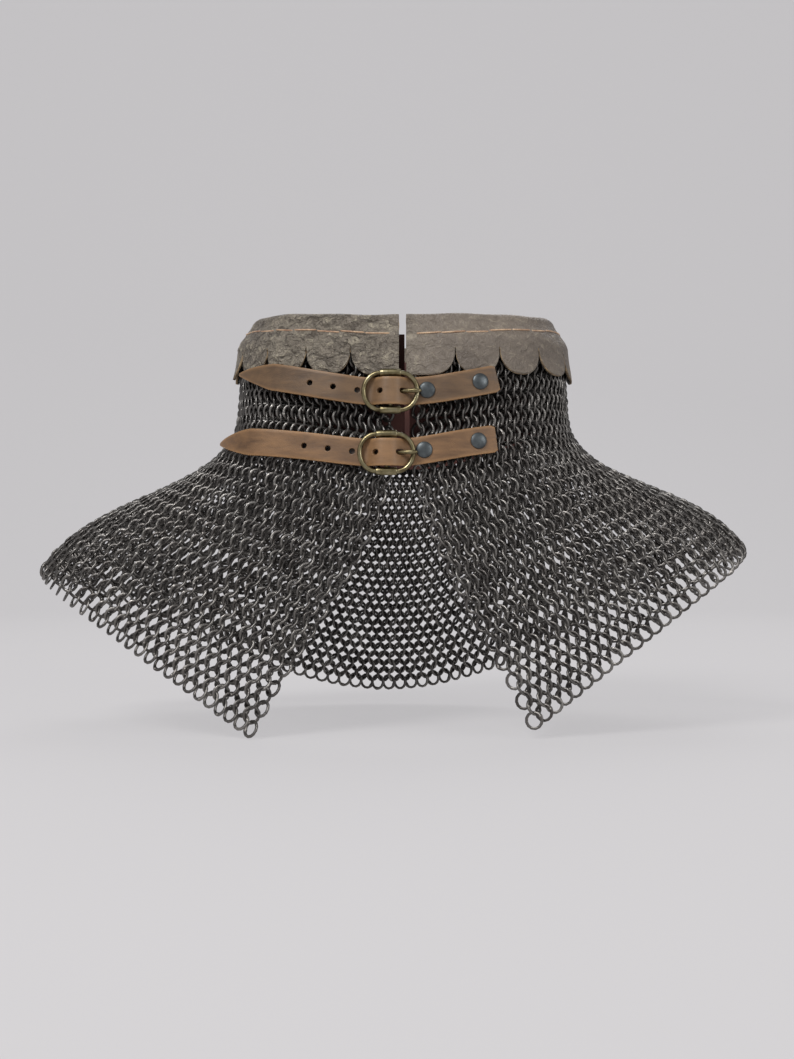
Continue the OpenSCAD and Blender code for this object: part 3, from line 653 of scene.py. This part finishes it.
def strap_in(line, s):
    """Distance of the strap's inner face from the middle of the mail, s mm from the bar: a raised
    cosine over the bar, under the frame's ends, and eased out to where the strap lies."""
    near = UNDER_RIM + (OVER_BAR - UNDER_RIM) * (0.5 + 0.5 * np.cos(
        math.pi * np.clip((np.abs(s) - 2.2) / (RIM_S - 5.7), 0, 1)))
    begin = np.where(s < 0, RIM_S + 2, 25.0)
    away = (UNDER_RIM + (line["far"] - UNDER_RIM) * ease((np.abs(s) - begin) / 15)
            + line["side"] * ease((-s - 52) / 36))
    return np.where(np.abs(s) < RIM_S, near, away)


def on_strap(line, u, w, out):
    """Point on a strap: u along the neck, w across it, out mm above its inner face. The strap
    leans back with the neck, so its normal tips up by the neck's own draught."""
    u, w, out = np.broadcast_arrays(u, w, out)
    before, after = (neck_at(u + e, strap_z(line, u + e), 0.0) for e in (-0.5, 0.5))
    along = (after - before) / np.linalg.norm(after - before, axis=-1, keepdims=True)
    place, flat = plan(phi_at(u))
    slope = (1 - TOP_PINCH) * np.linalg.norm(place, axis=-1, keepdims=True) / (TOP_Z - BACK_BASE_Z)
    normal = np.concatenate([flat, slope], -1)
    normal /= np.linalg.norm(normal, axis=-1, keepdims=True)
    up = np.cross(normal, along)
    up /= np.linalg.norm(up, axis=-1, keepdims=True)
    lift = out + strap_in(line, u - line["bar"])
    return neck_at(u, strap_z(line, u), 0.0) + normal * lift[..., None] + up * w[..., None]


def strap_half(line, u):
    """Half width: a long point that widens as m (1.1 - 0.1 m) of the strap's half, where m runs
    from 0 to 1 along the point, and clipped corners at the anchored end."""
    m = np.clip((u - line["tip"]) / POINT_L, 0, 1)
    point = POINT_R + (STRAP_W / 2 - POINT_R) * m * (1.1 - 0.1 * m)
    return np.minimum(point, STRAP_W / 2 - 1.2 + (line["end"] - u) * 0.8)


def punched_strap(name, line, material):
    """A grid along the strap, eight cells across. Where a hole is punched, four by four cells give
    way to rings that shrink from the square's edge to the hole's circle (or slot)."""
    bar = line["bar"]
    holes = [(bar + FIRST_HOLE - HOLE_PITCH * k, 0.0) for k in range(HOLES, 0, -1)]
    holes.append((bar + TONGUE_HOLE, TONGUE_SLOT))
    marks, cells = [line["tip"]], []
    for place, stretch in holes:
        start = place - HOLE_CELLS * HOLE_CELL / 2
        n = max(2, int(round((start - marks[-1]) / CELL)))
        marks += list(np.linspace(marks[-1], start, n + 1)[1:])
        cells.append(len(marks) - 1)
        marks += [start + HOLE_CELL * k for k in range(1, HOLE_CELLS + 1)]
    n = int(round((line["end"] - marks[-1]) / CELL))
    marks += list(np.linspace(marks[-1], line["end"], n + 1)[1:])
    marks = np.array(marks, dtype=float)
    columns = STRAP_CELLS + 1
    s, w = np.meshgrid(marks, np.linspace(-1, 1, columns), indexing="ij")
    flat = np.stack([s, w * strap_half(line, marks)[:, None]], -1).reshape(-1, 2)
    faces = grid_faces(len(marks), columns)
    row, column = faces[:, 0] // columns, faces[:, 0] % columns
    first, past = (STRAP_CELLS - HOLE_CELLS) // 2, (STRAP_CELLS + HOLE_CELLS) // 2
    keep = np.ones(len(faces), dtype=bool)
    extra_points, extra_faces, start = [], [], len(flat)
    for (place, stretch), cell in zip(holes, cells):
        keep &= ~((row >= cell) & (row < cell + HOLE_CELLS) & (column >= first) & (column < past))
        steps = range(HOLE_CELLS)
        rim = ([(cell + k, first) for k in steps] + [(cell + HOLE_CELLS, first + k) for k in steps]
               + [(cell + HOLE_CELLS - k, past) for k in steps] + [(cell, past - k) for k in steps])
        index = np.array([r * columns + c for r, c in rim])
        edge = flat[index]
        angle = np.arctan2(edge[:, 1], edge[:, 0] - place)
        sideways = stretch * np.sign(np.round(np.cos(angle), 6))
        circle = np.stack([place + HOLE_D / 2 * np.cos(angle) + sideways,
                           HOLE_D / 2 * np.sin(angle)], -1)
        loops = [index]
        for share in (0.45, 0.8, 1.0):
            extra_points.append(edge + (circle - edge) * share)
            loops.append(start + np.arange(len(index)))
            start += len(index)
        for a, c in zip(loops[:-1], loops[1:]):
            extra_faces.append(np.stack([a, c, np.roll(c, -1), np.roll(a, -1)], -1))
    flat = np.concatenate([flat] + extra_points)
    faces = np.concatenate([faces[keep]] + extra_faces)
    points = on_strap(line, flat[:, 0], flat[:, 1], STRAP_T / 2)
    piece = make_piece(name, points, faces, material)
    worn = np.clip(1 - np.abs(flat[:, 0] - bar - 2) / 24, 0, 1)
    rim = np.clip((np.abs(flat[:, 1]) - strap_half(line, flat[:, 0]) + 1.6) / 1.6, 0, 1)
    mark_points(piece, handled=worn, cut_edge=rim)
    thicken(piece, STRAP_T, bevel=0.35)
    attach(piece, "collar")
    return piece


def strap_material(name, dark, light):
    """Oil-tanned pull-up leather: it lightens where the strap bends at the buckle, faint streaks
    5 mm wide and 22 mm long run with the strap, blots are 17 mm across, the pores are 0.7 mm apart,
    and a painted highlight in a paler, warmer tan runs along both cut edges."""
    material, tree = new_material(name)
    place = add(tree, "TexCoord", "Object")
    handled = add(tree, "Attribute", "Fac", {"attribute_name": "handled"})
    rim = add(tree, "Attribute", "Fac", {"attribute_name": "cut_edge"})
    long_way = add(tree, "Mapping", Vector=place, Scale=(0.35, 0.6, 1.6))
    streak = add(tree, "TexNoise", Vector=long_way, Scale=1000 / STREAK, Detail=6.0,
                 Roughness=0.65)
    blot = add(tree, "TexNoise", Vector=place, Scale=1000 / BLOT, Detail=3.0)
    pore = add(tree, "TexVoronoi", Vector=place, Scale=1000 / PORE)
    colour = add(tree, "ValToRGB", Fac=streak, stops=[(0.28, dark), (0.75, light)])
    blotted = add(tree, "MapRange", Value=blot, From_Min=0.5, From_Max=0.75, To_Max=0.55)
    colour = add(tree, "Mix", 2, IN_COLOUR, Factor=blotted, _6=colour, _7=dark)
    lighter = add(tree, "MapRange", Value=handled, To_Max=0.22)
    colour = add(tree, "Mix", 2, IN_COLOUR, Factor=lighter, _6=colour, _7="#a5805a")
    # Painted highlight along both cut edges of the strap.
    wear_and_painted_highlight = add(tree, "MapRange", Value=rim, To_Max=0.38)
    colour = add(tree, "Mix", 2, IN_COLOUR, Factor=wear_and_painted_highlight, _6=colour, _7="#a97f52")
    rough = add(tree, "MapRange", Value=streak, From_Min=0.3, From_Max=0.7, To_Min=0.42,
                To_Max=0.6)
    pored = add(tree, "Bump", Height=pore, Strength=0.2, Distance=0.0003)
    streaked = add(tree, "Bump", Height=streak, Strength=0.25, Distance=0.0008,
                   Normal=pored)
    surface = add(tree, "BsdfPrincipled", Base_Color=colour, Roughness=rough, IOR=1.48,
                  Normal=streaked)
    add(tree, "OutputMaterial", Surface=surface)
    return material


# Painted shade: the upper strap's leather is darker than the lower strap's, in part for the shadow
# it lies in.
umber_leather_with_painted_shade = strap_material("brown_pull_up_leather_with_painted_shade", "#453425", "#6e5439")
upper_strap = punched_strap("upper_pointed_strap", UPPER, umber_leather_with_painted_shade)
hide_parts("upper_strap")
tan_leather = strap_material("tan_pull_up_leather", "#523b27", "#83613f")
lower_strap = punched_strap("lower_pointed_strap", LOWER, tan_leather)
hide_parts("lower_strap")

# The strap rivets are low domes of blackened steel, which hold the straps' right
# ends. Each head is struck once, so its crown is a little flat.
RIVET_HEAD, RIVET_RISE, SHANK = 10.0, 1.8, 3.0
STRAP_RIVETS_AT = (21.8, 53)
RIVET_WEAR = 3.85


def turned(profile, sides):
    """Surface turned about +Z from (radius, height) points, closed at both ends on the axis."""
    profile = np.asarray(profile, dtype=float)
    a = np.linspace(0, 2 * math.pi, sides, endpoint=False)
    r, z = profile[1:-1, 0], profile[1:-1, 1]
    body = np.stack([r[:, None] * np.cos(a), r[:, None] * np.sin(a),
                     np.repeat(z[:, None], sides, 1)], -1)
    points = np.concatenate([body.reshape(-1, 3), [[0, 0, profile[0, 1]], [0, 0, profile[-1, 1]]]])
    i, j = np.meshgrid(np.arange(len(r) - 1), np.arange(sides), indexing="ij")
    faces = np.stack([i * sides + j, i * sides + (j + 1) % sides, (i + 1) * sides + (j + 1) % sides,
                      (i + 1) * sides + j], -1).reshape(-1, 4).tolist()
    n, last = len(r) * sides, (len(r) - 1) * sides
    faces += [[n, (j + 1) % sides, j] for j in range(sides)]
    faces += [[n + 1, last + j, last + (j + 1) % sides] for j in range(sides)]
    return points, faces


def stood(shape, place, normal):
    """The shape with its +Z turned to the normal and its origin moved to the place."""
    normal = normal / np.linalg.norm(normal)
    side = np.cross([0.0, 0.0, 1.0], normal)
    side /= np.linalg.norm(side)
    points, faces = shape
    return place + points @ np.stack([side, np.cross(normal, side), normal]), faces


def rivet_material():
    """Blackened steel: nearly black and satin, worn to grey in spots 4 mm across."""
    material, tree = new_material("blackened_steel")
    place = add(tree, "TexCoord", "Object")
    wear = add(tree, "TexNoise", Vector=place, Scale=1000 / RIVET_WEAR, Detail=4.0)
    colour = add(tree, "ValToRGB", Fac=wear, stops=[(0.3, "#3a3e40"), (0.7, "#585d5f")])
    rough = add(tree, "MapRange", Value=wear, From_Min=0.3, From_Max=0.7, To_Min=0.5,
                To_Max=0.36)
    surface = add(tree, "BsdfPrincipled", Base_Color=colour, Roughness=rough,
                  Metallic=0.7)
    add(tree, "OutputMaterial", Surface=surface)
    return material


blackened = rivet_material()
t = np.linspace(0, math.pi / 2, 10)
dome = np.stack([(RIVET_HEAD / 2 - 0.2) * np.cos(t), 0.3 + (RIVET_RISE - 0.3) * np.sin(t)], -1)
head = [(0, -STRAP_T), (SHANK / 2, -STRAP_T), (SHANK / 2, 0.12), (RIVET_HEAD / 2 - 0.35, 0.12),
        (RIVET_HEAD / 2 - 0.15, 0.18)] + dome.tolist()
rivets = []
for line in (UPPER, LOWER):
    for s in STRAP_RIVETS_AT:
        place = on_strap(line, line["bar"] + s, 0.0, STRAP_T)
        above = on_strap(line, line["bar"] + s, 0.0, STRAP_T + 1)
        rivets.append(stood(turned(head, 36), place, above - place))
strap_rivets = make_piece("domed_strap_rivets", *joined(rivets), blackened)
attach(strap_rivets, "collar")
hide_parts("strap_rivets")

# A buckle tab is a short strip of the same leather, made darker as painted shade under the
# strap, folded round the buckle's bar, slotted for the tongue, and riveted to the mail under
# the strap, out of sight.
TAB_HALF, TAB_CELLS, SLOT_CELLS, LOOP_STEPS = 6.5, 10, 4, 15
TAB_TAIL, LEVEL_PART = -32.4, -9
TAB_RIVETS_AT, TAB_RIVET_HEAD = (-21, -28), 3.4


def bar_axes(line):
    """Directions at a buckle's bar (along the strap, up the bar, outward) and the bar's middle."""
    flat_place, flat = plan(phi_at(np.array(line["bar"])))
    along = np.array([-flat[1], flat[0], 0])
    slope = (1 - TOP_PINCH) * np.linalg.norm(flat_place) / (TOP_Z - BACK_BASE_Z)
    out = np.array([flat[0], flat[1], slope])
    out /= np.linalg.norm(out)
    place = neck_at(np.array(line["bar"], dtype=float), line["z"], 0.0) + FRAME_OUT * out
    return along, np.cross(out, along), out, place


# Painted shade: the tab leather is a darker copy of the strap leather, for the shade under the
# strap.
tab_leather_painted_shade = strap_material("darker_tab_leather_painted_shade", "#2e2219", "#453426")
low, mid = MAIL_BACK + LIE + TAB_T / 2, LOOP_R - TAB_T / 2
a = np.radians(np.linspace(-115, 115, LOOP_STEPS))
bend = np.stack([mid * np.cos(a), FRAME_OUT + mid * np.sin(a)], -1)
under = np.array([(TAB_TAIL, low), (-25, low), (-18, low), (-11.5, low), (-6.6, low + 0.3),
                  (-3.4, low + 1.8)])
over = np.array([(-3.2, FRAME_OUT + 0.5), (-5.4, low + 2.7), (-7.2, low + 1.35),
                 (-8.4, low + 1.2)])
# The strip's middle from its tail to the bar, round it and back: along the strap, and outward
strip = np.concatenate([under, bend, over])
for name, line, node in (("upper_buckle_tab", UPPER, "upper_tab"),
                         ("lower_buckle_tab", LOWER, "lower_tab")):
    columns = TAB_CELLS + 1
    s, w = np.meshgrid(np.arange(len(strip)), np.linspace(-TAB_HALF, TAB_HALF, columns),
                       indexing="ij")
    along = strip[s, 0]
    z = np.where(along < LEVEL_PART, strap_z(line, line["bar"] + along), line["z"])
    points = neck_at(line["bar"] + along, z + w, strip[s, 1])
    faces = grid_faces(len(strip), columns)
    row, column = faces[:, 0] // columns, faces[:, 0] % columns
    first = (TAB_CELLS - SLOT_CELLS) // 2
    slot = ((row >= len(under)) & (row < len(under) + LOOP_STEPS - 2)
            & (column >= first) & (column < first + SLOT_CELLS))
    tab = make_piece(name, points.reshape(-1, 3), faces[~slot], tab_leather_painted_shade)
    thicken(tab, TAB_T - 0.1, bevel=0.2)
    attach(tab, "collar")
    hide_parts(node)
flush = [(0, 0), (TAB_RIVET_HEAD / 2, 0), (TAB_RIVET_HEAD / 2, TAB_T - 0.2),
         (TAB_RIVET_HEAD / 2 - 0.3, TAB_T - 0.06), (0, TAB_T - 0.05)]
flush_rivets = []
for line in (UPPER, LOWER):
    for s in TAB_RIVETS_AT:
        u = np.array(line["bar"] + s, dtype=float)
        place = neck_at(u, strap_z(line, u), MAIL_BACK + LIE)
        flush_rivets.append(stood(turned(flush, 20), place, bar_axes(line)[2]))
tab_rivets = make_piece("flush_tab_rivets", *joined(flush_rivets), blackened)
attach(tab_rivets, "collar")
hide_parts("tab_rivets")

# The buckles are cast brass, antiqued: an oval frame of round bar, a centre bar
# with sleeves closed over the frame, and a loose tongue that rests on the right rim.
TURN_R, SLEEVE_W, TONGUE_D, EYE_WIRE_R = BUCKLE_H / 2 - FRAME_D / 2, 12.4, 2.5, 0.5
HALF_STRAIGHT = SLEEVE_W / 2 - 0.3
PATINA, HANDLING_MARK = 5.26, 0.625


def brass_material():
    """Antiqued brass: yellow metal rubbed through a dark brown patina in spots 5 mm across, satin,
    with marks of handling 0.6 mm across."""
    material, tree = new_material("antiqued_brass")
    place = add(tree, "TexCoord", "Object")
    patina = add(tree, "TexNoise", Vector=place, Scale=1000 / PATINA, Detail=5.0,
                 Roughness=0.6)
    marks = add(tree, "TexNoise", Vector=place, Scale=1000 / HANDLING_MARK, Detail=2.0)
    colour = add(tree, "ValToRGB", Fac=patina,
                 stops=[(0.3, "#574d38"), (0.5, "#7d7356"), (0.75, "#a69e82")])
    rough = add(tree, "MapRange", Value=patina, From_Min=0.3, From_Max=0.7, To_Min=0.42,
                To_Max=0.27)
    bump = add(tree, "Bump", Height=marks, Strength=0.12, Distance=0.0002)
    surface = add(tree, "BsdfPrincipled", Base_Color=colour, Roughness=rough,
                  Metallic=1.0, Normal=bump)
    add(tree, "OutputMaterial", Surface=surface)
    return material


def oval_frame():
    """Round bar bent to an oval: two half ellipses, TURN_R high, joined by straights."""
    a = np.radians(np.linspace(-90, 90, 33))
    right = np.stack([HALF_STRAIGHT + (RIM_S - HALF_STRAIGHT) * np.cos(a), TURN_R * np.sin(a),
                      0 * a], -1)
    middle = np.array([[0.0, TURN_R, 0.0]])
    path = np.concatenate([right, middle, -right, -middle])
    return tube(path, FRAME_D / 2, 20, closed=True)


def centre_bar():
    """A round bar between two sleeves; a sleeve's wall swells at its middle, with rolled ends."""
    bar_half = TURN_R - 1.7
    parts = [tube([(0, y, 0) for y in np.linspace(-bar_half, bar_half, 5)], BAR_D / 2, 20)]
    x = np.array([-1, -0.97, -0.9, -0.5, 0, 0.5, 0.9, 0.97, 1]) * SLEEVE_W / 2
    r = FRAME_D / 2 + np.array([0.45, 0.72, 0.85, 0.95, 1.0, 0.95, 0.85, 0.72, 0.45])
    for side in (-1, 1):
        parts.append(tube([(q, side * TURN_R, 0) for q in x], r, 28))
    return joined(parts)


def tongue():
    """A flat eye round the bar, and a round pin drawn out from it: under the strap it stays low,
    comes up through the hole, and lies on the rim, its tip dressed down over the far side."""
    eye_r, rest = BAR_D / 2 + PLAY + EYE_WIRE_R, FRAME_D / 2 + TONGUE_D / 2 + 0.03
    a = np.linspace(0, 2 * math.pi, 40, endpoint=False)
    eye = tube(np.stack([eye_r * np.cos(a), 0 * a, eye_r * np.sin(a)], -1), EYE_WIRE_R, 12,
               up=(0, 1, 0), closed=True)
    # Distance along the strap, height, and share of the pin's full radius
    knots = np.array([(1.7, 0, 0.85), (3.5, -0.35, 0.95), (5.5, -0.5, 1), (7.2, 0, 1), (9, 0.95, 1),
                      (10.8, rest - 0.6, 1), (13, rest - 0.08, 1.02), (RIM_S, rest, 1.02),
                      (RIM_S + 1.6, rest - 0.15, 0.8), (RIM_S + 2.5, rest - 0.45, 0.4)])
    t = np.linspace(0, len(knots) - 1, 46)
    x, z, r = (np.interp(t, np.arange(len(knots)), knots[:, k]) for k in range(3))
    z = np.convolve(np.pad(z, 3, mode="edge"), np.ones(7) / 7, "valid")
    pin = tube(np.stack([x, 0 * x, z], -1), TONGUE_D / 2 * r, 16, up=(0, 1, 0))
    return joined([eye, pin])


def set_at_bar(shape, line):
    """A shape in a buckle's own directions, carried to its bar."""
    along, up, out, place = bar_axes(line)
    points, faces = shape
    return place + points @ np.stack([along, up, out]), faces


brass = brass_material()
for which, line in (("upper", UPPER), ("lower", LOWER)):
    for name, shape, node, body in (("oval_frame", oval_frame(), "buckle_frame", "buckle"),
                                    ("centre_bar", centre_bar(), "buckle_bar", "buckle"),
                                    ("buckle_tongue", tongue(), "tongue", "pin")):
        piece = make_piece(f"{which}_{name}", *set_at_bar(shape, line), brass)
        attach(piece, f"{which}_{body}")
        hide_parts(f"{which}_{node}")

# The studio is matt grey paper that sweeps up from the floor into a backdrop, a
# broad soft lamp above on the left, a weaker one on the right and one behind,
# and an even sky.
FLOOR_FRONT, SWEEP_START, SWEEP_R, PAPER_HALF, BACKDROP_RISE = -2600, 1500, 900, 3500, 2600
PAPER_GLOW = 0.75
# Each lamp's name, its place, aim and size in metres, and its power in watts
LAMPS = (("left_softbox", (-0.8, -1.2, 1.3), (0, -0.05, -0.05), 0.7, 30),
         ("right_softbox", (1.3, -1.1, 0.5), (0, -0.05, -0.05), 0.9, 9),
         ("back_softbox", (0.2, 1.2, 1.3), (0, 0, 0), 1.2, 14))


def paper_material():
    """Matt paper that the camera, metal and glass see as a nearly even grey: three quarters of
    what they see is the paper's own glow, and the rest is lit."""
    material, tree = new_material("matt_grey_paper")
    plain = add(tree, "BsdfPrincipled", Base_Color="#c9c6c6", Roughness=0.9)
    even = add(tree, "Emission", Color="#ceccce", Strength=1.0)
    rays = add(tree, "LightPath").node.outputs
    seen = add(tree, "Math", settings={"operation": "ADD"}, _0=rays["Is Camera Ray"],
               _1=rays["Is Glossy Ray"])
    seen = add(tree, "Math", settings={"operation": "ADD", "use_clamp": True}, _0=seen,
               _1=rays["Is Transmission Ray"])
    share = add(tree, "Math", settings={"operation": "MULTIPLY"}, _0=seen,
                _1=PAPER_GLOW)
    surface = add(tree, "MixShader", Fac=share, _1=plain, _2=even)
    add(tree, "OutputMaterial", Surface=surface)
    return material


floor_z = min(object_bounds()[0][2], cad_box[0][2]) * 1000 - 0.5
bend = np.radians(np.arange(6, 91, 6))
y = np.concatenate([np.linspace(FLOOR_FRONT, SWEEP_START, 12), SWEEP_START + SWEEP_R * np.sin(bend),
                    np.full(6, float(SWEEP_START + SWEEP_R))])
z = np.concatenate([np.zeros(12), SWEEP_R * (1 - np.cos(bend)),
                    SWEEP_R + np.linspace(300, BACKDROP_RISE, 6)]) + floor_z
x = np.linspace(-PAPER_HALF, PAPER_HALF, 9)[:, None]
sweep = np.stack(np.broadcast_arrays(x, y, z), -1)
backdrop = make_piece("backdrop", sweep.reshape(-1, 3), grid_faces(9, len(y))[:, ::-1],
                      paper_material())

for name, place, aim, size, power in LAMPS:
    lamp = bpy.data.objects.new(name, bpy.data.lights.new(name, "AREA"))
    lamp.data.size, lamp.data.energy = size, power
    lamp.location = place
    away = np.array(place) - np.array(aim)
    lamp.rotation_euler = (math.atan2(math.hypot(away[0], away[1]), away[2]), 0,
                           math.atan2(away[0], -away[1]))
    bpy.context.scene.collection.objects.link(lamp)
world = bpy.data.worlds.new("even_sky")
world.use_nodes = True
world.node_tree.nodes["Background"].inputs["Color"].default_value = linear("#e4e6ea")
world.node_tree.nodes["Background"].inputs["Strength"].default_value = 0.5
bpy.context.scene.world = world
bpy.context.scene.view_settings.view_transform = "Standard"
